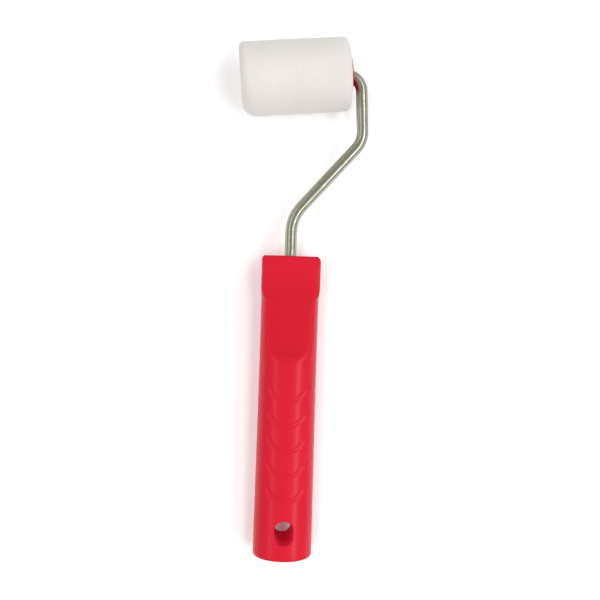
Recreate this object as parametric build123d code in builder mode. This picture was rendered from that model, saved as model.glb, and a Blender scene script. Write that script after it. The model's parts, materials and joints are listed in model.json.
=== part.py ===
"""Mini foam paint roller: cranked rod frame, moulded grip and a 2 inch foam sleeve that spins on the rod.

Millimetres. The tool lies at rest on a bench at Z = 0, with the sleeve and the grip's butt touching it.
+Y runs along the grip towards the sleeve, +X towards the cranked side of the rod, +Z up.
The origin is on the bench, under the middle of the tool's outline.
"""

import os
from math import asin, cos, degrees, radians, sin, tan

from build123d import *

# Sleeve, a nominal 2 inch foam roller
FOAM_LENGTH = 50.8
FOAM_RADIUS = 16.95
FOAM_EDGE = 4.6  # rounding of the sleeve's two rims
CORE_RADIUS = 7.5
CORE_BORE = 6.3
CORE_LEFT = -23.1  # along the spindle, from the middle of the sleeve
CORE_RIGHT = 24.6

# Rod: one zinc-plated wire, bent three times
ROD_RADIUS = 2.7
ROD_ENTRY_X = -0.47  # the rod enters a little left of the grip's centre line
TANG_LENGTH = 64.0  # hidden in the grip
CRANK_START = (ROD_ENTRY_X, 18.1)  # corners of the rod's centre line before rounding
CRANK_END = (31.73, 54.67)
LEG_LEAN = 3.05  # degrees the upper leg leans back towards the sleeve
BEND_RADII = (18.5, 11.5, 8.1)
SPINDLE_ANGLE = 5.15  # degrees between the spindle and square across the grip
SPINDLE_MID = (-0.9, 83.35)  # middle of the sleeve, from the middle of the grip's head
SPINDLE_TIP = -22.4
TIP_CHAMFER = 0.8

# Grip
GRIP_LENGTH = 141.4
HEAD_LENGTH = 19.0
HEAD_WIDTH = 27.4
HEAD_HALF_DEPTH = 7.9
HEAD_CORNER = 3.4
HEAD_TAIL = 3.0  # slope from the head down to the body
HEAD_EDGE = 1.8
GRIP_HALF_DEPTH = 11.0
GRIP_HALF_WIDTHS = {-12.0: 13.42, -50.0: 13.42, -93.0: 13.62, -129.0: 13.86, -141.4: 13.9}
BUTT_EDGE = 1.5
PANEL_HALF_DEPTH = 7.0  # the thumb panels lie this far from the mid plane
PANEL_BEND_Y = -14.3
PANEL_RUNOUT_Y = -39.1
PANEL_RUNOUT_RADIUS = 13.0
PANEL_RUNOUT_RISE = 5.5  # the run-out arc is drawn to just above the body
LIP_SLOPE = 0.16  # the panels rise to a lip at the head's end
CUTTER_REACH = 5.0  # cutters pass this far outside the grip
SLOT_WIDTH = 8.4
SLOT_LENGTH = 11.3
SLOT_Y = -127.9
GROOVE_BOTTOMS = (-66.7, -78.2, -89.9, -101.6, -113.0)
GROOVE_WIDTH = 2.3
GROOVE_DEPTH = 0.4
GROOVE_SLOPE = 51.6  # degrees that a groove's arms climb
GROOVE_BEND = 8.7  # radius at the bottom of a groove
GROOVE_REACH = 15.6

# Inside of the grip
PLUG_SIZE = (17.5, 8.8, 3.0)  # width, depth and corner radius
PLUG_LENGTH = 34.0
PLUG_LIP_SIZE = (20.2, 10.0, 3.6)
PLUG_LIP_DEPTH = 1.6
SOCKET_DEPTH = 50.0
CHAMBER_Y = (-68.0, -115.5)
CHAMBER_WALL = 2.8

# Bearings: plain bores that run on the rod
RUNNING_CLEARANCE = 0.05
BEARING_BORE = ROD_RADIUS + RUNNING_CLEARANCE
HUB_POCKET = 5.4  # radius of the pocket in the outer face of each hub
HUB_RECESS = (4.0, 5.2)  # ring-shaped recess in the inner end of each hub
HUB_RECESS_DEPTH = 5.5
INNER_HUB = {"end": 14.4, "bearing": 22.3, "flange": CORE_RIGHT, "rim": 26.4}
FLANGE_RADIUS = 8.4  # the inner hub's flange laps over the end of the foam
FLANGE_EDGE = 0.4
OUTER_HUB = {"rim": -23.7, "flange": CORE_LEFT, "bearing": -18.9, "end": -10.9}
CAP_FACE = -24.5
CAP_SPIGOT_END = -21.5
CAP_SPIGOT_BORE = 4.2
CAP_EDGE = 0.5
WASHER_FACES = (-20.0, -19.1)
WASHER_RADII = (ROD_RADIUS + 0.1, 4.4)
NUT_RADIUS = 4.4
NUT_THICKNESS = 0.45
NUT_DISH = 0.75  # the push nut's middle stands this far outside its rim

# Resting attitude: the tool tips about the sleeve until the butt meets the bench
BENCH_CONTACT_Y = -139.9
MIDDLE_ON_BENCH = (-4.335, 103.08)  # where the middle of the sleeve stands
spindle_y = SPINDLE_MID[1] - SPINDLE_MID[0] * tan(radians(SPINDLE_ANGLE))
reach = (spindle_y - BENCH_CONTACT_Y) * cos(radians(SPINDLE_ANGLE))
rest_tilt = degrees(asin((FOAM_RADIUS - GRIP_HALF_DEPTH) / reach))
spindle_direction = Vector(cos(radians(SPINDLE_ANGLE)), sin(radians(SPINDLE_ANGLE)), 0)
tip_axis = Axis((0, 0, 0), spindle_direction)
tool_x = Vector(1, 0, 0).rotate(tip_axis, rest_tilt)
tool_z = Vector(0, 0, 1).rotate(tip_axis, rest_tilt)
tool_y = tool_z.cross(tool_x)
sleeve_middle = Vector(*MIDDLE_ON_BENCH, FOAM_RADIUS)
head_middle = sleeve_middle - tool_x * SPINDLE_MID[0] - tool_y * SPINDLE_MID[1]

# tool: seen from above, origin in the middle of the grip's head, local Y along the grip
tool = Plane(origin=head_middle, x_dir=tool_x, z_dir=tool_z)
# side: the grip seen from its right, local X along the grip, local Y through its depth
side = Plane(origin=head_middle, x_dir=tool_y, z_dir=tool_x)
grip_axis = Axis(head_middle, tool_y)
# spindle: local X along the sleeve's axis, towards the cranked side, local Y the radius
spindle = Plane(origin=sleeve_middle, x_dir=spindle_direction, z_dir=tool_z)
spindle_axis = Axis(sleeve_middle, spindle_direction)
outward = Axis(sleeve_middle, spindle.y_dir)


def across(y):
    """Cross-section plane of the grip, y from its head, facing the butt."""
    return Plane(origin=tool.from_local_coords((0, y, 0)), x_dir=tool_x, z_dir=-tool_y)


def ring(x_from, x_to, r_inner, r_outer, mode=Mode.ADD):
    """Half section of a ring round the spindle, for a sketch on the spindle plane."""
    with Locations(((x_from + x_to) / 2, (r_inner + r_outer) / 2)):
        Rectangle(abs(x_to - x_from), r_outer - r_inner, mode=mode)


def grip_section(y, inset=0):
    """Oval section of the grip's body at y, drawn smaller by the inset all round."""
    with BuildSketch(across(y)) as section:
        Ellipse(half_width_at(y) - inset, GRIP_HALF_DEPTH - inset)
    return section.sketch


def half_width_at(y):
    """Half width of the grip's body, by straight lines between its stations."""
    stations = sorted(GRIP_HALF_WIDTHS, reverse=True)
    for upper, lower in zip(stations, stations[1:]):
        if y >= lower:
            share = (upper - y) / (upper - lower)
            return GRIP_HALF_WIDTHS[upper] + share * (GRIP_HALF_WIDTHS[lower] - GRIP_HALF_WIDTHS[upper])
    return GRIP_HALF_WIDTHS[stations[-1]]


# ---- rod frame ----
lean = radians(LEG_LEAN)
slope = tan(radians(SPINDLE_ANGLE))
# the leg, x = CRANK_END.x - t tan(lean), meets the spindle line at the third corner
leg_rise = (SPINDLE_MID[1] + (CRANK_END[0] - SPINDLE_MID[0]) * slope - CRANK_END[1]) / (1 + tan(lean) * slope)
hub_corner = (CRANK_END[0] - leg_rise * tan(lean), CRANK_END[1] + leg_rise)
tip_in_tool = (
    SPINDLE_MID[0] + SPINDLE_TIP * cos(radians(SPINDLE_ANGLE)),
    SPINDLE_MID[1] + SPINDLE_TIP * sin(radians(SPINDLE_ANGLE)),
)

with BuildPart() as wire_frame:
    with BuildLine(tool) as rod_path:
        FilletPolyline(
            (ROD_ENTRY_X, -TANG_LENGTH),
            CRANK_START,
            CRANK_END,
            hub_corner,
            tip_in_tool,
            radius=BEND_RADII,
        )
    with BuildSketch(Plane(origin=rod_path.line @ 0, z_dir=rod_path.line % 0)):
        Circle(ROD_RADIUS)
    sweep(path=rod_path.line)
    rod_ends = wire_frame.faces().filter_by(GeomType.PLANE).edges()
    chamfer(rod_ends, TIP_CHAMFER)
wire_frame.part.label = "wire_frame"

# ---- grip ----
with BuildPart() as head_block:
    with BuildSketch(across(0)):
        RectangleRounded(HEAD_WIDTH, 2 * HEAD_HALF_DEPTH, HEAD_CORNER)
    extrude(amount=HEAD_LENGTH)
    head_ends = head_block.faces().filter_by(grip_axis).sort_by(grip_axis)
    fillet(head_ends[-1].edges(), HEAD_EDGE)
    chamfer(head_ends[0].edges(), HEAD_TAIL)

with BuildPart() as groove_floor:
    loft([grip_section(y, GROOVE_DEPTH) for y in GRIP_HALF_WIDTHS])

with BuildPart() as groove_cutter:
    with BuildSketch(tool.offset(-2 * GRIP_HALF_DEPTH)):
        arm_climb = tan(radians(GROOVE_SLOPE)) * GROOVE_REACH
        bend_drop = GROOVE_BEND * (1 / cos(radians(GROOVE_SLOPE)) - 1)
        for groove_y in GROOVE_BOTTOMS:
            with BuildLine() as groove_line:
                FilletPolyline(
                    (-GROOVE_REACH, groove_y - bend_drop + arm_climb),
                    (0, groove_y - bend_drop),
                    (GROOVE_REACH, groove_y - bend_drop + arm_climb),
                    radius=GROOVE_BEND,
                )
            trace(groove_line.edges(), line_width=GROOVE_WIDTH)
    extrude(amount=4 * GRIP_HALF_DEPTH)
    add(groove_floor.part, mode=Mode.SUBTRACT)

with BuildPart() as grip_body:
    loft([grip_section(y) for y in GRIP_HALF_WIDTHS])
    butt_face = grip_body.faces().sort_by(grip_axis)[0]
    fillet(butt_face.edges(), BUTT_EDGE)
    add(head_block.part)
    # thumb panels, front and back
    with BuildSketch(side) as panel_cut:
        with BuildLine():
            lip = (0, HEAD_HALF_DEPTH)
            cutter_top = GRIP_HALF_DEPTH + CUTTER_REACH
            arc_height = PANEL_RUNOUT_RADIUS - PANEL_RUNOUT_RISE
            arc_run = (PANEL_RUNOUT_RADIUS**2 - arc_height**2) ** 0.5
            panel_end = (PANEL_RUNOUT_Y - arc_run, PANEL_HALF_DEPTH + PANEL_RUNOUT_RISE)
            dip = Spline(lip, (PANEL_BEND_Y, PANEL_HALF_DEPTH), tangents=((-1, -LIP_SLOPE), (-1, 0)))
            floor_line = Line(dip @ 1, (PANEL_RUNOUT_Y, PANEL_HALF_DEPTH))
            runout = RadiusArc(floor_line @ 1, panel_end, PANEL_RUNOUT_RADIUS)
            Polyline(
                runout @ 1,
                (panel_end[0], cutter_top),
                (CUTTER_REACH, cutter_top),
                (CUTTER_REACH, HEAD_HALF_DEPTH),
                lip,
            )
        make_face()
        mirror(about=Plane.XZ)
    extrude(amount=2 * GRIP_HALF_DEPTH, both=True, mode=Mode.SUBTRACT)
    add(groove_cutter.part, mode=Mode.SUBTRACT)
    # hanging slot through the butt
    with BuildSketch(tool.offset(-2 * GRIP_HALF_DEPTH)):
        with Locations((0, SLOT_Y)):
            SlotOverall(SLOT_LENGTH, SLOT_WIDTH, rotation=90)
    extrude(amount=4 * GRIP_HALF_DEPTH, mode=Mode.SUBTRACT)
    # socket for the plug and the rod's tang, and the seat for the plug's lip
    with BuildSketch(across(0)):
        RectangleRounded(*PLUG_SIZE)
    extrude(amount=SOCKET_DEPTH, mode=Mode.SUBTRACT)
    with BuildSketch(across(0)):
        RectangleRounded(*PLUG_LIP_SIZE)
    extrude(amount=PLUG_LIP_DEPTH, mode=Mode.SUBTRACT)
    with BuildSketch(across(0)):
        with Locations((ROD_ENTRY_X, 0)):
            Circle(ROD_RADIUS)
    extrude(amount=TANG_LENGTH, mode=Mode.SUBTRACT)
    # hollow chamber in the body
    loft([grip_section(y, CHAMBER_WALL) for y in CHAMBER_Y], mode=Mode.SUBTRACT)
grip_body.part.label = "grip_body"

with BuildPart() as grip_plug:
    with BuildSketch(across(0)):
        RectangleRounded(*PLUG_SIZE)
    extrude(amount=PLUG_LENGTH)
    with BuildSketch(across(0)):
        RectangleRounded(*PLUG_LIP_SIZE)
    extrude(amount=PLUG_LIP_DEPTH)
    with BuildSketch(across(0)):
        with Locations((ROD_ENTRY_X, 0)):
            Circle(ROD_RADIUS)
    extrude(amount=PLUG_LENGTH, mode=Mode.SUBTRACT)
grip_plug.part.label = "grip_plug"

# ---- sleeve ----
with BuildPart() as foam_cover:
    with BuildSketch(spindle) as foam_half:
        ring(-FOAM_LENGTH / 2, FOAM_LENGTH / 2, CORE_RADIUS, FOAM_RADIUS)
        fillet(foam_half.vertices().sort_by(outward)[-2:], FOAM_EDGE)
    revolve(axis=spindle_axis)
foam_cover.part.label = "foam_cover"

with BuildPart() as core_tube:
    with BuildSketch(spindle):
        ring(CORE_LEFT, CORE_RIGHT, CORE_BORE, CORE_RADIUS)
    revolve(axis=spindle_axis)
core_tube.part.label = "core_tube"

with BuildPart() as inner_hub:
    with BuildSketch(spindle) as hub_half:
        ring(INNER_HUB["end"], INNER_HUB["rim"], BEARING_BORE, CORE_BORE)
        ring(INNER_HUB["flange"], INNER_HUB["rim"], BEARING_BORE, CORE_RADIUS)
        ring(FOAM_LENGTH / 2, INNER_HUB["rim"], BEARING_BORE, FLANGE_RADIUS)
        fillet(hub_half.vertices().sort_by(outward)[-2:], FLANGE_EDGE)
        ring(INNER_HUB["bearing"], INNER_HUB["rim"], BEARING_BORE, HUB_POCKET, Mode.SUBTRACT)
        ring(INNER_HUB["end"], INNER_HUB["end"] + HUB_RECESS_DEPTH, *HUB_RECESS, Mode.SUBTRACT)
    revolve(axis=spindle_axis)
inner_hub.part.label = "inner_hub"

with BuildPart() as outer_hub:
    with BuildSketch(spindle):
        ring(OUTER_HUB["rim"], OUTER_HUB["end"], BEARING_BORE, CORE_BORE)
        ring(OUTER_HUB["rim"], OUTER_HUB["flange"], BEARING_BORE, CORE_RADIUS)
        ring(OUTER_HUB["rim"], OUTER_HUB["bearing"], BEARING_BORE, HUB_POCKET, Mode.SUBTRACT)
        ring(OUTER_HUB["end"] - HUB_RECESS_DEPTH, OUTER_HUB["end"], *HUB_RECESS, Mode.SUBTRACT)
    revolve(axis=spindle_axis)
outer_hub.part.label = "outer_hub"

with BuildPart() as outer_end_cap:
    with BuildSketch(spindle) as cap_half:
        ring(CAP_FACE, OUTER_HUB["rim"], 0, CORE_RADIUS)
        fillet(cap_half.vertices().sort_by(outward)[-2:].sort_by(spindle_axis)[0], CAP_EDGE)
        ring(OUTER_HUB["rim"], CAP_SPIGOT_END, CAP_SPIGOT_BORE, HUB_POCKET)
    revolve(axis=spindle_axis)
outer_end_cap.part.label = "outer_end_cap"

# ---- fastening on the spindle's tip ----
with BuildPart() as thrust_washer:
    with BuildSketch(spindle):
        ring(*WASHER_FACES, *WASHER_RADII)
    revolve(axis=spindle_axis)
thrust_washer.part.label = "thrust_washer"

with BuildPart() as push_nut:
    with BuildSketch(spindle):
        with BuildLine():
            nut_rim = WASHER_FACES[0]
            Polyline(
                (nut_rim - NUT_DISH, ROD_RADIUS),
                (nut_rim, NUT_RADIUS),
                (nut_rim - NUT_THICKNESS, NUT_RADIUS),
                (nut_rim - NUT_THICKNESS - NUT_DISH, ROD_RADIUS),
                close=True,
            )
        make_face()
    revolve(axis=spindle_axis)
push_nut.part.label = "push_nut"

os.makedirs("parts", exist_ok=True)
export_step(grip_body.part, "parts/grip_body.step")
export_step(grip_plug.part, "parts/grip_plug.step")
export_step(wire_frame.part, "parts/wire_frame.step")
export_step(foam_cover.part, "parts/foam_cover.step")
export_step(core_tube.part, "parts/core_tube.step")
export_step(inner_hub.part, "parts/inner_hub.step")
export_step(outer_hub.part, "parts/outer_hub.step")
export_step(outer_end_cap.part, "parts/outer_end_cap.step")
export_step(thrust_washer.part, "parts/thrust_washer.step")
export_step(push_nut.part, "parts/push_nut.step")
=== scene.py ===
import json
import math

import bmesh
import bpy
import numpy as np
from mathutils import Matrix, Vector, noise


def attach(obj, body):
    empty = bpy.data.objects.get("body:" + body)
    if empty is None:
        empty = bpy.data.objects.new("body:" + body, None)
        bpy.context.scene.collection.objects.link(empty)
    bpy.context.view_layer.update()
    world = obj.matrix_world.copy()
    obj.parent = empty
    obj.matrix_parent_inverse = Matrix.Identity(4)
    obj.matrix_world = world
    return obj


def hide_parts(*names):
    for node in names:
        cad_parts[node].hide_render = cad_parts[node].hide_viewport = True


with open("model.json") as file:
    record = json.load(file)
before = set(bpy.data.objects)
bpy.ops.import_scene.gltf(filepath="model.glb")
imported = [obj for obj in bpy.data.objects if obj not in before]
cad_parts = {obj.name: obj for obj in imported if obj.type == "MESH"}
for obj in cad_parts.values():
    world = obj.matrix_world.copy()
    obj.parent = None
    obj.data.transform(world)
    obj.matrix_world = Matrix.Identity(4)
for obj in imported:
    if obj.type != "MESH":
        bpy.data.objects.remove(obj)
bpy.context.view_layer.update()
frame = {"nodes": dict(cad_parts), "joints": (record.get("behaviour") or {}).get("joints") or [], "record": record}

# Mini foam paint roller at rest on a pale floor.
# The grip, the rod and the foam are built here as fine meshes; the small plastic and steel
# pieces stay as the CAD made them. Lengths are in millimetres unless a name ends in _M, and
# tool_points and spindle_points turn them into metres. Noise scales are in cells per metre.

MM = 0.001

# ---------------------------------------------------------------- where things are
spin = next(j for j in frame["joints"] if j["name"] == "roller_spin")
slot_mount = next(m for m in frame["record"]["mounts"] if m["name"] == "hanging_slot")

SPINDLE_ANGLE = 5.15  # degrees between the spindle and square across the grip
SLOT_Y = -127.9  # middle of the hanging slot, from the grip's head
GRIP_HALF_DEPTH = 11.0

sleeve_middle = Vector(spin["pos_m"])
spindle_dir = Vector(spin["axis"]).normalized()
tool_z = Vector(slot_mount["axis"]).normalized()
tool_x = Matrix.Rotation(-math.radians(SPINDLE_ANGLE), 3, tool_z) @ spindle_dir
tool_y = tool_z.cross(tool_x)
head_middle = Vector(slot_mount["pos_m"]) - (tool_y * SLOT_Y + tool_z * GRIP_HALF_DEPTH) * MM


def tool_points(x, y, h):
    """Points in metres, from x across the grip, y along it and h through its depth."""
    x, y, h = np.broadcast_arrays(x, y, h)
    axes = np.array([tool_x, tool_y, tool_z])
    return np.array(head_middle) + np.stack([x, y, h], axis=-1) * MM @ axes


def spindle_points(along, radius, turn):
    """Points in metres round the sleeve's axis. No turn faces up, a quarter faces the grip."""
    along, radius, turn = np.broadcast_arrays(along, radius, turn)
    down_grip = spindle_dir.cross(Vector((0, 0, 1)))
    axes = np.array([spindle_dir, Vector((0, 0, 1)), down_grip])
    local = np.stack([along, radius * np.cos(turn), radius * np.sin(turn)], axis=-1)
    return np.array(sleeve_middle) + local * MM @ axes


# ---------------------------------------------------------------- shared helpers
HALVINGS = 40  # steps in the search for an outline
TINY = 1e-9  # keeps a length above zero


def smooth_step(start, end, value):
    """A smooth ramp from 0 at the start to 1 at the end."""
    t = np.clip((value - start) / (end - start), 0, 1)
    return t * t * (3 - 2 * t)


def soft_minimum(a, b, softness):
    return (a + b - np.sqrt((a - b) ** 2 + softness**2)) / 2


def quarter_turn(rows):
    return np.linspace(0, 1, rows) * math.pi / 2


def outline_reach(direction, farthest, is_outside):
    """Distance from the middle to an outline, in each direction."""
    near, far = np.zeros_like(direction), np.full_like(direction, farthest)
    for _ in range(HALVINGS):
        middle = (near + far) / 2
        outside = is_outside(middle * np.cos(direction), middle * np.sin(direction))
        near, far = np.where(outside, near, middle), np.where(outside, middle, far)
    return near


def grid_faces(rows, columns, closed=True):
    """Quads between rows of points, each row closed round on itself if asked."""
    faces = []
    last = columns if closed else columns - 1
    for r in range(rows - 1):
        for c in range(last):
            a = r * columns + c
            b = r * columns + (c + 1) % columns
            faces.append((a, b, b + columns, a + columns))
    return faces


def make_mesh(name, points, faces, body, uv=None):
    """A smooth-shaded piece that rides on a body."""
    mesh = bpy.data.meshes.new(name)
    mesh.from_pydata([tuple(p) for p in points], [], faces)
    mesh.polygons.foreach_set("use_smooth", [True] * len(mesh.polygons))
    if uv is not None:
        layer = mesh.uv_layers.new(name="UVMap")
        corner = np.zeros(len(mesh.loops), np.int32)
        mesh.loops.foreach_get("vertex_index", corner)
        layer.data.foreach_set("uv", np.asarray(uv, np.float32)[corner].ravel())
    mesh.validate()
    piece = bpy.data.objects.new(name, mesh)
    bpy.context.scene.collection.objects.link(piece)
    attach(piece, body)
    return piece


def weld(piece, distance):
    """Joins points that lie together, closes what is open and turns all faces outwards."""
    work = bmesh.new()
    work.from_mesh(piece.data)
    bmesh.ops.remove_doubles(work, verts=work.verts, dist=distance)
    bmesh.ops.dissolve_degenerate(work, edges=work.edges, dist=distance / 20)
    holes = [e for e in work.edges if e.is_boundary]
    if holes:
        bmesh.ops.holes_fill(work, edges=holes, sides=AROUND)
    bmesh.ops.recalc_face_normals(work, faces=work.faces)
    work.to_mesh(piece.data)
    work.free()
    piece.data.polygons.foreach_set("use_smooth", [True] * len(piece.data.polygons))
    piece.data.update()


# ---------------------------------------------------------------- grip
GRIP_LENGTH = 141.4
HEAD_END = -13.8  # the head's full section ends here
BODY_START = -21.0
BODY_POWER, HEAD_POWER = 2.0, 7.0  # the body's section is an ellipse, the head's is squarer
HEAD_HALF_WIDTH, HEAD_HALF_DEPTH = 13.72, 8.1
HEAD_EDGE, HEAD_EDGE_SKEW = 2.0, 0.5  # the head's right edge is rounder than its left one
BODY_Y = (-141.4, -129.0, -93.0, -50.0, -12.0)
BODY_HALF_WIDTH = (13.9, 13.86, 13.62, 13.42, 13.42)
BUTT_EDGE = 1.6

PANEL_HALF_DEPTH = 6.85
PANEL_CREST_Y, PANEL_CREST = -11.0, 0.25
PANEL_LOW_Y = -22.0  # the scoop starts here
PANEL_SCOOP, PANEL_SCOOP_LENGTH, PANEL_SCOOP_LIMIT = 0.3, 17, 20
PANEL_RUNOUT_Y, PANEL_RUNOUT_RADIUS = -39.1, 13.0
PANEL_RUNOUT_GAP = 0.01  # keeps the run-out arc short of its own end
PANEL_END_Y = -60  # the panels have run out before here
PANEL_EDGE_SOFTNESS = 0.85
NOSE_DROP = 1.2  # the head thins towards its end

GROOVE_BOTTOMS = (-66.7, -78.2, -89.9, -101.6, -113.0)
GROOVE_HALF_WIDTH, GROOVE_DEPTH = 1.25, 0.34
GROOVE_FLOOR = 0.15  # flat share of a groove's half width
GROOVE_SLOPE = math.radians(51.6)
GROOVE_BEND = 8.7
GROOVE_FADE_X = (7.0, 11.5)  # the arms run out between these distances from the middle

SLOT_RADIUS, SLOT_HALF_STRAIGHT = 4.2, 1.45
SLOT_RIM = 0.7
SLOT_FARTHEST = 30.0  # no point of the slot's outline is this far from its middle
WINDOW_HALF_LENGTH, WINDOW_SHARE = 8.0, 0.094  # the grid's opening round the slot

LIP_HALF_WIDTH, LIP_HALF_DEPTH, LIP_CORNER, LIP_DEPTH = 10.1, 5.0, 3.6, 1.6
LIP_CHAMFER = 0.25
PLUG_HALF_WIDTH, PLUG_HALF_DEPTH, PLUG_CORNER = 8.75, 4.4, 3.0
SOCKET_DEPTH = 64.0

AROUND = 256  # points in one ring of the grip
OUTLINE_SAMPLES = 1500  # points along a quarter of a section, before they are spaced evenly
SOCKET_FLOOR_HOLE = 0.02  # share of the socket's floor that weld closes with one face
SOCKET_MATCH_Y = -3.0  # the socket's rings have the directions of the head's ring here
HEAD_ROWS_START = 0.3  # gap behind the head's rounded edge
HEAD_ROWS_END, PANEL_ROWS_END = -24.0, -52.0
HEAD_ROW_STEP, PANEL_ROW_STEP, BODY_ROW_STEP = 0.5, 0.45, 0.4
HEAD_EDGE_ROWS, BUTT_EDGE_ROWS = 9, 13
BUTT_FACE_SHARES = (0.9, 0.78, 0.62, 0.44, 0.26, 0.1, 0.012)
SLOT_FACE_ROWS, SLOT_RIM_ROWS, SLOT_WALL_ROWS = 8, 7, 7

# where the grip's material changes
PANEL_ZONE_CUT = (0.1, 0.6)  # the panel zone begins and is full this far below the section
PANEL_ZONE_NOSE_Y, PANEL_ZONE_RUNOUT_Y = (-4.0, -19.0), (-48.0, -45.0)
WALL_ZONE_MARGIN = 0.05
WALL_ZONE_START = 0.8  # share of the slot's rim that keeps the outside's finish


def head_share(y):
    """1 in the head, 0 in the body and a smooth change between them."""
    return smooth_step(BODY_START, HEAD_END, y)


def half_width_at(y):
    head = head_share(y)
    return np.interp(y, BODY_Y, BODY_HALF_WIDTH) * (1 - head) + HEAD_HALF_WIDTH * head


def section_height(x, y):
    """Half depth of the grip at x and y, before the panels and grooves are cut."""
    head = head_share(y)
    half_depth = GRIP_HALF_DEPTH * (1 - head) + HEAD_HALF_DEPTH * head
    power = BODY_POWER + (HEAD_POWER - BODY_POWER) * head
    share = np.clip(np.abs(x) / half_width_at(y), 0, 1)
    return half_depth * (1 - share**power) ** (1 / power)


def panel_depth(y):
    """Half depth of the thumb panels: a nose, a low crest, a scoop and an arc that runs out."""
    rise = np.clip(PANEL_RUNOUT_Y - y, 0, PANEL_RUNOUT_RADIUS - PANEL_RUNOUT_GAP)
    runout = PANEL_RUNOUT_RADIUS - np.sqrt(PANEL_RUNOUT_RADIUS**2 - rise**2)
    crest = PANEL_CREST * smooth_step(PANEL_LOW_Y, PANEL_CREST_Y, y)
    nose = NOSE_DROP * np.clip((y - PANEL_CREST_Y) / -PANEL_CREST_Y, 0, 1) ** 2
    into_scoop = np.clip(PANEL_LOW_Y - y, 0, PANEL_SCOOP_LIMIT)
    scoop = PANEL_SCOOP * (into_scoop / PANEL_SCOOP_LENGTH) ** 2
    return PANEL_HALF_DEPTH + crest - nose + scoop + runout


def surface_height(x, y):
    """Half depth of the grip at x and y, without the grooves."""
    plain = section_height(x, y)
    cut = soft_minimum(plain, panel_depth(y), PANEL_EDGE_SOFTNESS)
    panelled = np.where(y > PANEL_END_Y, cut, plain)
    return np.where(plain <= 0, 0, np.maximum(panelled, 0))


def groove_cut(x, y):
    """Depth of the five chevron grooves at x and y."""
    tangent = GROOVE_BEND * math.sin(GROOVE_SLOPE)
    inside = np.minimum(np.abs(x), tangent)
    climb = GROOVE_BEND - np.sqrt(GROOVE_BEND**2 - inside**2)
    climb = climb + np.maximum(np.abs(x) - tangent, 0) * math.tan(GROOVE_SLOPE)
    tilt = np.arctan2(inside, np.sqrt(GROOVE_BEND**2 - inside**2))
    cut = np.zeros(np.broadcast(x, y).shape)
    for bottom in GROOVE_BOTTOMS:
        away = np.abs(y - bottom - climb) * np.cos(tilt) / GROOVE_HALF_WIDTH
        cut = np.maximum(cut, GROOVE_DEPTH * (1 - smooth_step(GROOVE_FLOOR, 1.0, away)))
    return cut * (1 - smooth_step(*GROOVE_FADE_X, np.abs(x)))


def section_ring(y):
    """One ring of the grip as x and h, evenly spaced along its outline, from +X over the top."""
    turn = np.linspace(0, math.pi / 2, OUTLINE_SAMPLES)
    x = half_width_at(y) * np.cos(turn)
    x[-1] = 0
    h = surface_height(x, np.full_like(x, y))
    run = np.concatenate([[0], np.cumsum(np.hypot(np.diff(x), np.diff(h)))])
    at = np.linspace(0, run[-1], AROUND // 4 + 1)
    x, h = np.interp(at, run, x), np.interp(at, run, h)
    x = np.concatenate([x, -x[-2::-1], -x[1:], x[-2:0:-1]])
    h = np.concatenate([h, h[-2::-1], -h[1:], -h[-2:0:-1]])
    return x, h


def rounded_box_ring(half_width, half_depth, corner):
    """A ring of a rounded rectangle, matching the points of a grip ring."""

    def is_outside(x, h):
        qx, qh = np.abs(x) - half_width + corner, np.abs(h) - half_depth + corner
        past_corner = np.hypot(np.maximum(qx, 0), np.maximum(qh, 0))
        return past_corner + np.minimum(np.maximum(qx, qh), 0) > corner

    x, h = section_ring(SOCKET_MATCH_Y)
    direction = np.arctan2(h, x)
    reach = outline_reach(direction, half_width + half_depth, is_outside)
    return reach * np.cos(direction), reach * np.sin(direction)


def shrunk(x, h, inset):
    """A ring moved inwards by the inset, along its own normals."""
    dx, dh = np.roll(x, -1) - np.roll(x, 1), np.roll(h, -1) - np.roll(h, 1)
    length = np.maximum(np.hypot(dx, dh), TINY)
    return x - dh / length * inset, h + dx / length * inset


def flat_ring(outline, y):
    """A ring as x, y and h that lies square across the grip."""
    x, h = outline
    return x, np.full(AROUND, y), h


def socket_rings():
    """The plug's socket, from its floor out to the head's end face."""
    plug = rounded_box_ring(PLUG_HALF_WIDTH, PLUG_HALF_DEPTH, PLUG_CORNER)
    lip = rounded_box_ring(LIP_HALF_WIDTH, LIP_HALF_DEPTH, LIP_CORNER)
    floor_middle = (plug[0] * SOCKET_FLOOR_HOLE, plug[1] * SOCKET_FLOOR_HOLE)
    return [
        flat_ring(floor_middle, -SOCKET_DEPTH),
        flat_ring(plug, -SOCKET_DEPTH),
        flat_ring(plug, -LIP_DEPTH),
        flat_ring(lip, -LIP_DEPTH),
        flat_ring(lip, -LIP_CHAMFER),
        flat_ring(shrunk(*lip, -LIP_CHAMFER), 0.0),
    ]


def head_edge_rings():
    """The rounded edge of the head, from its end face to its full section."""
    full_x, full_h = section_ring(-HEAD_EDGE)
    edge = HEAD_EDGE + HEAD_EDGE_SKEW * full_x / HEAD_HALF_WIDTH
    rings = []
    for angle in quarter_turn(HEAD_EDGE_ROWS):
        x, h = shrunk(full_x, full_h, edge * (1 - math.sin(angle)))
        rings.append((x, -edge * (1 - math.cos(angle)), h))
    return rings


def body_stations():
    """Places of the body's rings along the grip."""
    head_start = -HEAD_EDGE - HEAD_EDGE_SKEW - HEAD_ROWS_START
    body_end = -GRIP_LENGTH + BUTT_EDGE
    head = np.arange(head_start, HEAD_ROWS_END, -HEAD_ROW_STEP)
    panel = np.arange(HEAD_ROWS_END, PANEL_ROWS_END, -PANEL_ROW_STEP)
    body = np.arange(PANEL_ROWS_END, body_end, -BODY_ROW_STEP)
    return np.concatenate([head, panel, body, [body_end]])


def body_rings(stations):
    """The body, with the grooves pressed in along its surface."""
    rings = []
    for y in stations:
        x, h = section_ring(y)
        rings.append(flat_ring(shrunk(x, h, groove_cut(x, np.full(AROUND, y))), y))
    return rings


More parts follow.
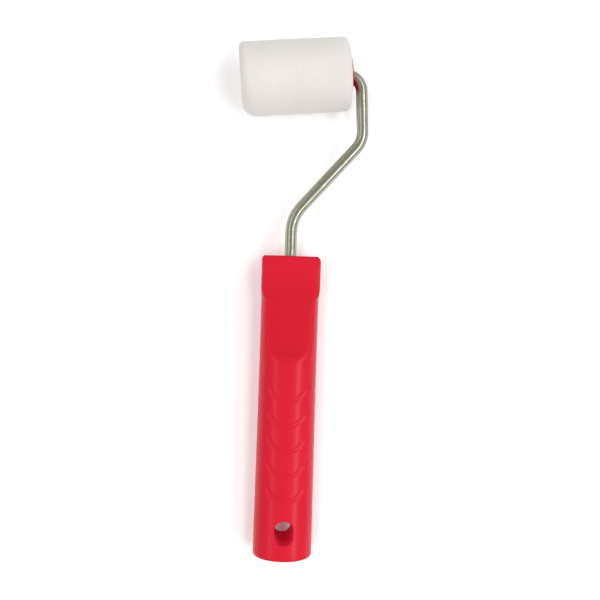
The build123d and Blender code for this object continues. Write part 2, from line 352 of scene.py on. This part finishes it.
def butt_rings(start_y):
    """The rounded butt and its end face, down to a small ring in the middle."""
    full_x, full_h = section_ring(start_y)
    rings = []
    for angle in quarter_turn(BUTT_EDGE_ROWS)[1:]:
        outline = shrunk(full_x, full_h, BUTT_EDGE * (1 - math.cos(angle)))
        rings.append(flat_ring(outline, start_y - BUTT_EDGE * math.sin(angle)))
    edge_x, _, edge_h = rings[-1]
    for share in BUTT_FACE_SHARES:
        rings.append(flat_ring((edge_x * share, edge_h * share), -GRIP_LENGTH))
    return rings


def window_edge(row_near, row_far, middle, half_span):
    """Rows and columns of the grid points round the opening for the slot."""
    columns = list(range(middle - half_span, middle + half_span + 1))
    edge = [(row_near, c) for c in columns]
    edge += [(r, columns[-1]) for r in range(row_near + 1, row_far)]
    edge += [(row_far, c) for c in reversed(columns)]
    edge += [(r, columns[0]) for r in range(row_far - 1, row_near, -1)]
    return edge


def slot_loops(side, edge_x, edge_y):
    """Loops from the opening in the grid over the slot's rim and down to the mid plane."""
    direction = np.arctan2(edge_y, edge_x)

    def slot_outline(grow):
        def is_outside(x, y):
            past_straight = np.maximum(np.abs(y) - SLOT_HALF_STRAIGHT, 0)
            return np.hypot(x, past_straight) > SLOT_RADIUS + grow

        reach = outline_reach(direction, SLOT_FARTHEST, is_outside)
        return reach * np.cos(direction), reach * np.sin(direction)

    loops = []
    rim_x, rim_y = slot_outline(SLOT_RIM)
    for share in np.linspace(0, 1, SLOT_FACE_ROWS)[1:]:
        x, y = edge_x + (rim_x - edge_x) * share, edge_y + (rim_y - edge_y) * share
        loops.append((x, y, side * surface_height(x, y + SLOT_Y)))
    for angle in quarter_turn(SLOT_RIM_ROWS)[1:]:
        x, y = slot_outline(SLOT_RIM * (1 - math.sin(angle)))
        drop = SLOT_RIM * (1 - math.cos(angle))
        loops.append((x, y, side * (surface_height(x, y + SLOT_Y) - drop)))
    x, y = slot_outline(0.0)
    wall_top = surface_height(x, y + SLOT_Y) - SLOT_RIM
    for share in np.linspace(1, 0, SLOT_WALL_ROWS)[1:]:
        loops.append((x, y, side * wall_top * share))
    return loops


def build_grip():
    stations = body_stations()
    rings = socket_rings() + head_edge_rings()
    first_body = len(rings)
    rings += body_rings(stations) + butt_rings(stations[-1])
    x, y, h = (np.array([ring[i] for ring in rings]) for i in range(3))
    points = [tool_points(x.ravel(), y.ravel(), h.ravel())]
    count = x.size

    # the grid opens for the hanging slot in front and behind, and quads lead through
    row_near, row_far = (
        first_body + int(np.argmin(np.abs(stations - (SLOT_Y + reach))))
        for reach in (WINDOW_HALF_LENGTH, -WINDOW_HALF_LENGTH)
    )
    half_span = int(AROUND * WINDOW_SHARE)
    top, bottom = AROUND // 4, 3 * AROUND // 4  # columns in the middle of each face

    def in_window(face):
        row, column = divmod(face[0], AROUND)
        across = min(abs(column + 0.5 - top), abs(column + 0.5 - bottom))
        return row_near <= row < row_far and across < half_span

    faces = [face for face in grid_faces(len(rings), AROUND) if not in_window(face)]
    for side, middle in ((1, top), (-1, bottom)):
        edge = window_edge(row_near, row_far, middle, half_span)
        edge_x = np.array([x[r, c] for r, c in edge])
        edge_y = np.array([y[r, c] for r, c in edge]) - SLOT_Y
        outer = [r * AROUND + c for r, c in edge]
        size = len(edge)
        for px, py, ph in slot_loops(side, edge_x, edge_y):
            points.append(tool_points(px, py + SLOT_Y, ph))
            inner = list(range(count, count + size))
            count += size
            for i in range(size):
                j = (i + 1) % size
                faces.append((outer[i], outer[j], inner[j], inner[i]))
            outer = inner
    grip = make_mesh("grip", np.concatenate(points), faces, "frame")
    weld(grip, 0.02 * MM)
    mark_zones(grip)
    return grip


def mark_zones(grip):
    """Marks the thumb panels and the slot's walls for the grip's material."""
    count = len(grip.data.vertices)
    points = np.empty(count * 3, np.float32)
    grip.data.vertices.foreach_get("co", points)
    axes = np.array([tool_x, tool_y, tool_z])
    x, y, h = ((points.reshape(-1, 3) - np.array(head_middle)) @ axes.T / MM).T
    below = section_height(x, y) - np.abs(h)
    panel = smooth_step(*PANEL_ZONE_CUT, below) * smooth_step(*PANEL_ZONE_NOSE_Y, y)
    panel = panel * smooth_step(*PANEL_ZONE_RUNOUT_Y, y)
    from_slot = np.hypot(x, np.maximum(np.abs(y - SLOT_Y) - SLOT_HALF_STRAIGHT, 0))
    walls = (from_slot < SLOT_RADIUS + WALL_ZONE_MARGIN) & (below > SLOT_RIM * WALL_ZONE_START)
    for name, values in (("thumb_panel", panel), ("slot_walls", walls)):
        zone = grip.data.attributes.new(name, "FLOAT", "POINT")
        zone.data.foreach_set("value", np.asarray(values, np.float32))


grip = build_grip()
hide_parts("grip_body")

# ---------------------------------------------------------------- rod
ROD_RADIUS = 2.7
ROD_ENTRY_X = -0.47  # the rod enters a little left of the grip's middle
TANG_LENGTH = 63.9  # hidden in the grip
CRANK_START, CRANK_END = np.array((ROD_ENTRY_X, 18.1)), np.array((31.73, 54.67))
LEG_LEAN = math.radians(3.05)
BEND_RADII = (18.5, 11.5, 8.1)
SPINDLE_MIDDLE = np.array((-0.9, 83.35))
SPINDLE_TIP = -22.4  # along the spindle, from its middle
TIP_CHAMFER = 0.8
ROD_AROUND = 64
ROD_STEP = 0.5
FEWEST_BEND_STEPS = 4
END_FACE_RADIUS = 0.02  # the one face in the middle of each end


def straight_run(start, end):
    """Points from just after the start up to the end."""
    steps = max(1, round(float(np.linalg.norm(end - start)) / ROD_STEP))
    return [start + (end - start) * k / steps for k in range(1, steps + 1)]


def rod_route():
    """Centre line of the rod in the tool's plane, straight runs joined by arcs."""
    angle = math.radians(SPINDLE_ANGLE)
    along = np.array((math.cos(angle), math.sin(angle)))
    reach = CRANK_END[0] - SPINDLE_MIDDLE[0]
    gap = SPINDLE_MIDDLE[1] + reach * math.tan(angle) - CRANK_END[1]
    rise = gap / (1 + math.tan(LEG_LEAN) * math.tan(angle))
    hub_corner = CRANK_END + np.array((-rise * math.tan(LEG_LEAN), rise))
    tip = SPINDLE_MIDDLE + SPINDLE_TIP * along
    corners = [np.array((ROD_ENTRY_X, -TANG_LENGTH)), CRANK_START, CRANK_END, hub_corner, tip]
    line = [corners[0]]
    for before, corner, after, radius in zip(corners, corners[1:], corners[2:], BEND_RADII):
        arrive = (corner - before) / np.linalg.norm(corner - before)
        leave = (after - corner) / np.linalg.norm(after - corner)
        cross = arrive[0] * leave[1] - arrive[1] * leave[0]
        turn = math.atan2(cross, float(arrive @ leave))
        start = corner - arrive * (radius * math.tan(abs(turn) / 2))
        line += straight_run(line[-1], start)
        inward = np.array((-arrive[1], arrive[0])) * math.copysign(1, turn)
        centre = start + inward * radius
        spoke = start - centre
        steps = max(FEWEST_BEND_STEPS, round(abs(turn) * radius / ROD_STEP))
        for k in range(1, steps + 1):
            cos_a, sin_a = math.cos(turn * k / steps), math.sin(turn * k / steps)
            turned = (spoke[0] * cos_a - spoke[1] * sin_a, spoke[0] * sin_a + spoke[1] * cos_a)
            line.append(centre + np.array(turned))
    line += straight_run(line[-1], tip)
    return np.array(line)


def build_rod():
    line = rod_route()
    ahead = np.gradient(line, axis=0)
    ahead /= np.linalg.norm(ahead, axis=1)[:, None]
    across = np.stack([-ahead[:, 1], ahead[:, 0]], axis=1)
    run = np.concatenate([[0], np.cumsum(np.linalg.norm(np.diff(line, axis=0), axis=1))])
    turn = np.arange(ROD_AROUND + 1) / ROD_AROUND * 2 * math.pi
    full = np.flatnonzero((run >= TIP_CHAMFER) & (run <= run[-1] - TIP_CHAMFER))
    last = len(line) - 1
    rows = [(0, END_FACE_RADIUS), (0, ROD_RADIUS - TIP_CHAMFER)]  # place on the line, radius
    rows += [(i, ROD_RADIUS) for i in full]
    rows += [(last, ROD_RADIUS - TIP_CHAMFER), (last, END_FACE_RADIUS)]
    points, uv = [], []
    for i, radius in rows:
        x = line[i, 0] + across[i, 0] * radius * np.cos(turn)
        y = line[i, 1] + across[i, 1] * radius * np.cos(turn)
        points.append(tool_points(x, y, radius * np.sin(turn)))
        uv.append(np.stack([turn * ROD_RADIUS, np.full_like(turn, run[i])], axis=1))
    faces = grid_faces(len(rows), ROD_AROUND + 1, closed=False)
    end = (len(rows) - 1) * (ROD_AROUND + 1)
    faces += [tuple(range(ROD_AROUND))[::-1], tuple(range(end, end + ROD_AROUND))]
    return make_mesh("rod", np.concatenate(points), faces, "frame", uv=np.concatenate(uv))


rod = build_rod()
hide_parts("wire_frame")

# ---------------------------------------------------------------- foam sleeve
FOAM_HALF_LENGTH, FOAM_RADIUS, FOAM_BORE = 25.4, 16.95, 7.5
# each rim's rounding, and how much it varies once and twice round the rim
LEFT_EDGE, RIGHT_EDGE = (4.3, 2.0, 0.0), (4.0, 0.3, 0.9)
FOAM_AROUND = 320
FOAM_FACE_ROWS, FOAM_EDGE_ROWS, FOAM_SIDE_ROWS, FOAM_BORE_ROWS = 14, 18, 80, 20
SWELL_SCALE, SWELL_DEPTH = 90, 0.10
CELL_SCALE, CELL_DEPTH = 1500, 0.05
SMOOTH_BORE_WALL = 0.5  # the foam this near its bore isn't roughened


def foam_face(side, edge, share):
    """A ring of an end face, at a share of the way from the bore to the rounded rim."""
    along = np.full(FOAM_AROUND, side * FOAM_HALF_LENGTH)
    return along, FOAM_BORE + (FOAM_RADIUS - edge - FOAM_BORE) * share


def foam_edge(side, edge, angle):
    """A ring of a rounded rim. A quarter turn is at the end face, no turn at the side."""
    along = side * (FOAM_HALF_LENGTH - edge * (1 - math.sin(angle)))
    return along, FOAM_RADIUS - edge * (1 - math.cos(angle))


def build_foam():
    turn = np.arange(FOAM_AROUND) / FOAM_AROUND * 2 * math.pi
    left, right = (
        size + once * np.sin(turn) + twice * np.cos(2 * turn)
        for size, once, twice in (LEFT_EDGE, RIGHT_EDGE)
    )
    start, end = -FOAM_HALF_LENGTH + left, FOAM_HALF_LENGTH - right
    side_radius, bore_radius = np.full(FOAM_AROUND, FOAM_RADIUS), np.full(FOAM_AROUND, FOAM_BORE)
    quarter = math.pi / 2
    rows = [foam_face(-1, left, share) for share in np.linspace(0, 1, FOAM_FACE_ROWS)[:-1]]
    rows += [foam_edge(-1, left, angle) for angle in np.linspace(quarter, 0, FOAM_EDGE_ROWS)]
    for share in np.linspace(0, 1, FOAM_SIDE_ROWS)[1:-1]:
        rows.append((start + (end - start) * share, side_radius))
    rows += [foam_edge(1, right, angle) for angle in np.linspace(0, quarter, FOAM_EDGE_ROWS)]
    rows += [foam_face(1, right, share) for share in np.linspace(1, 0, FOAM_FACE_ROWS)[1:]]
    for share in np.linspace(1, 0, FOAM_BORE_ROWS)[1:]:
        along = -FOAM_HALF_LENGTH + 2 * FOAM_HALF_LENGTH * share
        rows.append((np.full(FOAM_AROUND, along), bore_radius))
    along, radius = (np.array([row[i] for row in rows]) for i in range(2))
    points = spindle_points(along, radius, turn[None, :]).reshape(-1, 3)
    foam = make_mesh("foam", points, grid_faces(len(rows), FOAM_AROUND), "roller")
    weld(foam, 0.01 * MM)
    roughen_foam(foam)
    return foam


def roughen_foam(foam):
    """Small swells and open cells on the foam's outside, never beyond its true radius."""
    mesh = foam.data
    count = len(mesh.vertices)
    points, normals = np.empty(count * 3, np.float32), np.empty(count * 3, np.float32)
    mesh.vertices.foreach_get("co", points)
    mesh.vertex_normals.foreach_get("vector", normals)
    points, normals = points.reshape(-1, 3), normals.reshape(-1, 3)
    arm = points - np.array(sleeve_middle)
    axial = arm @ np.array(spindle_dir)
    reach = np.linalg.norm(arm - axial[:, None] * np.array(spindle_dir), axis=1)
    for i in np.flatnonzero(reach > (FOAM_BORE + SMOOTH_BORE_WALL) * MM):
        spot = Vector(points[i])
        swell = noise.noise(spot * SWELL_SCALE) * 0.5 + 0.5
        cells = noise.noise(spot * CELL_SCALE) * 0.5 + 0.5
        points[i] -= normals[i] * (SWELL_DEPTH * swell + CELL_DEPTH * cells) * MM
    mesh.vertices.foreach_set("co", points.ravel())
    mesh.update()


foam = build_foam()
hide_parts("foam_cover")

# ---------------------------------------------------------------- materials
# the thumb panels: a darker red that is painted shade on their flat faces, and a more matte finish
PANEL_PAINTED_SHADE_RED, PANEL_ROUGHNESS = (0.58, 0.009, 0.023), 0.42
SLOT_PAINTED_LIGHT_RED, SLOT_ROUGHNESS = (0.88, 0.02, 0.085), 0.75  # the slot's walls: a brighter red that is painted light falling into the slot, and a matte finish that no hand dulls
FOAM_TONES = (
    (0.28, (0.72, 0.688, 0.645)),
    (0.5, (0.745, 0.703, 0.67)),
    (0.72, (0.755, 0.73, 0.69)),
)
PORE_SHADE = (0.62, 0.585, 0.55)
STEEL_EDGE_TINT = (0.35, 0.36, 0.28)
# sockets of a Mix node: its share, its two inputs and its result
MIX_SOCKETS = {"FLOAT": (0, 2, 3, 0), "RGBA": (0, 6, 7, 2)}


def new_material(name):
    """A material, its tree, its shader and its texture coordinates."""
    material = bpy.data.materials.new(name)
    material.use_nodes = True
    tree = material.node_tree
    shader = tree.nodes["Principled BSDF"]
    coordinates = tree.nodes.new("ShaderNodeTexCoord")
    return material, tree, shader, coordinates


def set_uniform(shader, **values):
    """Sets sockets that are the same all over, named with _ for each space."""
    for name, value in values.items():
        shader.inputs[name.replace("_", " ")].default_value = value


def add_noise(tree, vector, scale, detail=3.0, roughness=0.5, stretch=None):
    """Noise along a vector, with its scale multiplied along each axis if asked."""
    if stretch is not None:
        mapping = tree.nodes.new("ShaderNodeMapping")
        mapping.inputs["Scale"].default_value = stretch
        tree.links.new(vector, mapping.inputs["Vector"])
        vector = mapping.outputs["Vector"]
    node = tree.nodes.new("ShaderNodeTexNoise")
    set_uniform(node, Scale=scale, Detail=detail, Roughness=roughness)
    tree.links.new(vector, node.inputs["Vector"])
    return node.outputs["Fac"]


def add_ramp(tree, value, stops):
    """A colour ramp through (position, colour) stops."""
    node = tree.nodes.new("ShaderNodeValToRGB")
    ramp = node.color_ramp
    while len(ramp.elements) < len(stops):
        ramp.elements.new(0.5)
    for element, (position, colour) in zip(ramp.elements, stops):
        element.position = position
        element.color = (*colour, 1)
    tree.links.new(value, node.inputs["Fac"])
    return node.outputs["Color"]


def add_range(tree, value, low, high):
    """The value stretched from 0..1 to low..high."""
    node = tree.nodes.new("ShaderNodeMapRange")
    set_uniform(node, To_Min=low, To_Max=high)
    tree.links.new(value, node.inputs["Value"])
    return node.outputs["Result"]


def add_bump(tree, shader, heights):
    """A chain of bumps, each (height, strength, distance in metres)."""
    normal = None
    for height, strength, distance in heights:
        node = tree.nodes.new("ShaderNodeBump")
        set_uniform(node, Strength=strength, Distance=distance)
        tree.links.new(height, node.inputs["Height"])
        if normal is not None:
            tree.links.new(normal, node.inputs["Normal"])
        normal = node.outputs["Normal"]
    tree.links.new(normal, shader.inputs["Normal"])


def add_mix(tree, kind, share, a, b):
    """A mix of two colours or two floats, by a varying share from 0 to 1."""
    node = tree.nodes.new("ShaderNodeMix")
    node.data_type = kind
    *sockets, result = MIX_SOCKETS[kind]
    for value, socket in zip((share, a, b), sockets):
        if isinstance(value, bpy.types.NodeSocket):
            tree.links.new(value, node.inputs[socket])
        else:
            node.inputs[socket].default_value = (*value, 1) if kind == "RGBA" else value
    return node.outputs[result]


def zone_of(tree, name):
    """The marked zone of a mesh, from 0 to 1."""
    node = tree.nodes.new("ShaderNodeAttribute")
    node.attribute_name = name
    return node.outputs["Fac"]


def moulded_plastic(name, dark, light, roughness, grain, zones=False):
    """Moulded plastic with faint flow marks, a fine mould grain and small scuffs."""
    material, tree, shader, coordinates = new_material(name)
    where = coordinates.outputs["Object"]
    flow = add_noise(tree, where, scale=60, detail=4, roughness=0.55, stretch=(1, 0.35, 1))
    colour = add_ramp(tree, flow, ((0.3, dark), (0.7, light)))
    scuffs = add_noise(tree, where, scale=420, detail=6, roughness=0.7)
    gloss = add_range(tree, scuffs, roughness - 0.07, roughness + 0.09)
    if zones:
        # the thumb panels get a darker red as painted shade
        colour = add_mix(tree, "RGBA", zone_of(tree, "thumb_panel"), colour, PANEL_PAINTED_SHADE_RED)
        # the slot's walls get a brighter red: painted light that stands for light falling into the slot
        colour = add_mix(tree, "RGBA", zone_of(tree, "slot_walls"), colour, SLOT_PAINTED_LIGHT_RED)
        gloss = add_mix(tree, "FLOAT", zone_of(tree, "thumb_panel"), gloss, PANEL_ROUGHNESS)
        gloss = add_mix(tree, "FLOAT", zone_of(tree, "slot_walls"), gloss, SLOT_ROUGHNESS)
    tree.links.new(colour, shader.inputs["Base Color"])
    tree.links.new(gloss, shader.inputs["Roughness"])
    fine = add_noise(tree, where, scale=5200, detail=2)
    add_bump(tree, shader, ((fine, grain, 0.00004), (flow, 0.10, 0.0001)))
    set_uniform(shader, Specular_IOR_Level=0.17)
    return material


def foam_material():
    """Fine open-cell foam, warm white, with soft light inside it."""
    material, tree, shader, coordinates = new_material("white_foam")
    where = coordinates.outputs["Object"]
    tint = add_ramp(tree, add_noise(tree, where, scale=55), FOAM_TONES)
    pores = add_noise(tree, where, scale=1400, detail=2, roughness=0.6)
    tint = add_mix(tree, "RGBA", add_range(tree, pores, -0.35, 0.65), tint, PORE_SHADE)
    tree.links.new(tint, shader.inputs["Base Color"])
    cells = tree.nodes.new("ShaderNodeTexVoronoi")
    cells.feature = "F1"
    set_uniform(cells, Scale=2600)
    tree.links.new(where, cells.inputs["Vector"])
    nap = add_noise(tree, where, scale=900, detail=4, roughness=0.6)
    add_bump(tree, shader, ((cells.outputs["Distance"], 0.35, 0.00018), (nap, 0.25, 0.0003)))
    set_uniform(shader, Roughness=0.95, Specular_IOR_Level=0.2)
    set_uniform(shader, Sheen_Weight=0.25, Sheen_Roughness=0.6)
    set_uniform(shader, Subsurface_Weight=0.25, Subsurface_Scale=0.0015)
    set_uniform(shader, Subsurface_Radius=(1.0, 0.9, 0.8))
    return material


def plated_steel(name, pale, tinted, roughness, drawn):
    """Steel with a plated or passivated tint, and fine lines along its length if drawn."""
    material, tree, shader, coordinates = new_material(name)
    if drawn:  # the rod's UV map is in millimetres round it and along it
        where = coordinates.outputs["UV"]
        lines = add_noise(tree, where, scale=3.2, detail=4, roughness=0.6, stretch=(1, 0.03, 1))
        dents = add_noise(tree, where, scale=1.5, detail=3, roughness=0.6, stretch=(1, 0.55, 1))
        patches = add_noise(tree, where, scale=0.22, roughness=0.55, stretch=(1, 0.6, 1))
    else:
        where = coordinates.outputs["Object"]
        lines = add_noise(tree, where, scale=1600, detail=4, roughness=0.6)
        dents = add_noise(tree, where, scale=700, detail=3, roughness=0.6)
        patches = add_noise(tree, where, scale=240, roughness=0.55)
    colour = add_ramp(tree, patches, ((0.32, pale), (0.68, tinted)))
    gloss = add_range(tree, lines, roughness - 0.12, roughness + 0.14)
    tree.links.new(colour, shader.inputs["Base Color"])
    tree.links.new(gloss, shader.inputs["Roughness"])
    add_bump(tree, shader, ((lines, 0.35, 0.00006), (dents, 0.35, 0.00012)))
    set_uniform(shader, Metallic=1.0, Specular_Tint=(*STEEL_EDGE_TINT, 1))
    return material


def paint(piece, material):
    piece.data.materials.clear()
    piece.data.materials.append(material)


red_grip = moulded_plastic(
    "red_grip_plastic",
    dark=(0.62, 0.011, 0.030),
    light=(0.66, 0.0135, 0.035),
    roughness=0.27,
    grain=0.07,
    zones=True,
)
red_hub = moulded_plastic(
    "red_hub_plastic",
    dark=(0.57, 0.009, 0.024),
    light=(0.64, 0.011, 0.029),
    roughness=0.26,
    grain=0.08,
)
white_core = moulded_plastic(
    "white_core_plastic",
    dark=(0.66, 0.66, 0.64),
    light=(0.72, 0.72, 0.70),
    roughness=0.4,
    grain=0.1,
)
nylon = moulded_plastic(
    "natural_nylon",
    dark=(0.76, 0.74, 0.68),
    light=(0.84, 0.82, 0.76),
    roughness=0.35,
    grain=0.08,
)
zinc_rod = plated_steel(
    "zinc_plated_rod",
    pale=(0.48, 0.48, 0.435),
    tinted=(0.45, 0.46, 0.315),
    roughness=0.31,
    drawn=True,
)
spring_steel = plated_steel(
    "spring_steel",
    pale=(0.42, 0.42, 0.43),
    tinted=(0.36, 0.36, 0.37),
    roughness=0.38,
    drawn=False,
)
white_foam = foam_material()

paint(grip, red_grip)
paint(rod, zinc_rod)
paint(foam, white_foam)
NODE_MATERIALS = {
    "grip_plug": red_grip,
    "core_tube": white_core,
    "inner_hub": red_hub,
    "outer_hub": red_hub,
    "outer_end_cap": red_hub,
    "thrust_washer": nylon,
    "push_nut": spring_steel,
}
for node_name, material in NODE_MATERIALS.items():
    paint(frame["nodes"][node_name], material)

# ---------------------------------------------------------------- floor, light and camera
FLOOR_HALF_M = 8.0
FLOOR_TONES = ((0.3, (0.965, 0.965, 0.965)), (0.7, (0.985, 0.985, 0.985)))
FLOOR_GLOW = 0.10
CAMERA_AT_M = Vector((-0.01935, -0.00035, 0.36888))
CAMERA_TURN = (-0.148, -1.967, 1.76)  # degrees about X, Y and Z: nearly straight down
CAMERA_SHIFT = 0.03
LENS = 45.366
NEAR_CLIP_M = 0.01
WORLD_WHITE = 0.34
# each long box: name, place in metres and power in watts
LONG_BOX_AIM_M, LONG_BOX_SIZE_M = (0, 0.05, 0), (0.12, 1.3)
LONG_BOXES = (
    ("soft_box_left", (-0.62, 0.05, 0.72), 1.7),
    ("soft_box_right", (0.57, 0.05, 0.76), 3.9),
)
# two broad boxes overhead give light and leave no glare on the flat panels
BROAD_BOX_X_M, BROAD_BOX_Y_M, BROAD_BOX_Z_M = 0.33, -0.10, 1.0
BROAD_BOX_AIM_M, BROAD_BOX_SIZE_M = (0, -0.02, 0), (0.25, 0.6)
BROAD_BOX_POWER = 2.9


def pale_floor():
    mesh = bpy.data.meshes.new("floor")
    signs = ((-1, -1), (1, -1), (1, 1), (-1, 1))
    corners = [(FLOOR_HALF_M * x, FLOOR_HALF_M * y, 0) for x, y in signs]
    mesh.from_pydata(corners, [], [(0, 1, 2, 3)])
    floor = bpy.data.objects.new("floor", mesh)
    bpy.context.scene.collection.objects.link(floor)
    material, tree, shader, coordinates = new_material("pale_floor")
    speck = add_noise(tree, coordinates.outputs["Object"], scale=30)
    tree.links.new(add_ramp(tree, speck, FLOOR_TONES), shader.inputs["Base Color"])
    set_uniform(shader, Roughness=0.9, Specular_IOR_Level=0.1)
    set_uniform(shader, Emission_Color=(1, 1, 1, 1), Emission_Strength=FLOOR_GLOW)
    mesh.materials.append(material)


def soft_light(name, place, aim, size, power):
    """A rectangular soft box that faces a point, its long side level and along the grip."""
    data = bpy.data.lights.new(name, "AREA")
    data.shape = "RECTANGLE"
    data.size, data.size_y = size
    data.energy = power
    light = bpy.data.objects.new(name, data)
    bpy.context.scene.collection.objects.link(light)
    light.location = place
    facing = (Vector(place) - Vector(aim)).normalized()
    across = Vector((0, 1, 0)).cross(facing).normalized()
    axes = Matrix((across, facing.cross(across), facing)).transposed()
    light.rotation_euler = axes.to_euler()
    return light


def soft_lights():
    for name, place, power in LONG_BOXES:
        soft_light(name, place, LONG_BOX_AIM_M, LONG_BOX_SIZE_M, power)
    for side in (-1, 1):
        place = (BROAD_BOX_X_M * side, BROAD_BOX_Y_M, BROAD_BOX_Z_M)
        box = soft_light("broad_box", place, BROAD_BOX_AIM_M, BROAD_BOX_SIZE_M, BROAD_BOX_POWER)
        box.visible_glossy = False


def place_camera():
    data = bpy.data.cameras.new("camera")
    data.sensor_width = 36.0
    data.lens = LENS
    data.shift_x = CAMERA_SHIFT
    data.clip_start = NEAR_CLIP_M
    camera = bpy.data.objects.new("camera", data)
    bpy.context.scene.collection.objects.link(camera)
    camera.location = CAMERA_AT_M
    camera.rotation_euler = [math.radians(angle) for angle in CAMERA_TURN]
    bpy.context.scene.camera = camera


def white_world():
    world = bpy.data.worlds.new("studio")
    world.use_nodes = True
    background = world.node_tree.nodes["Background"]
    set_uniform(background, Color=(1.0, 1.0, 1.0, 1.0), Strength=WORLD_WHITE)
    bpy.context.scene.world = world


pale_floor()
place_camera()
soft_lights()
white_world()
bpy.context.scene.view_settings.view_transform = "Standard"
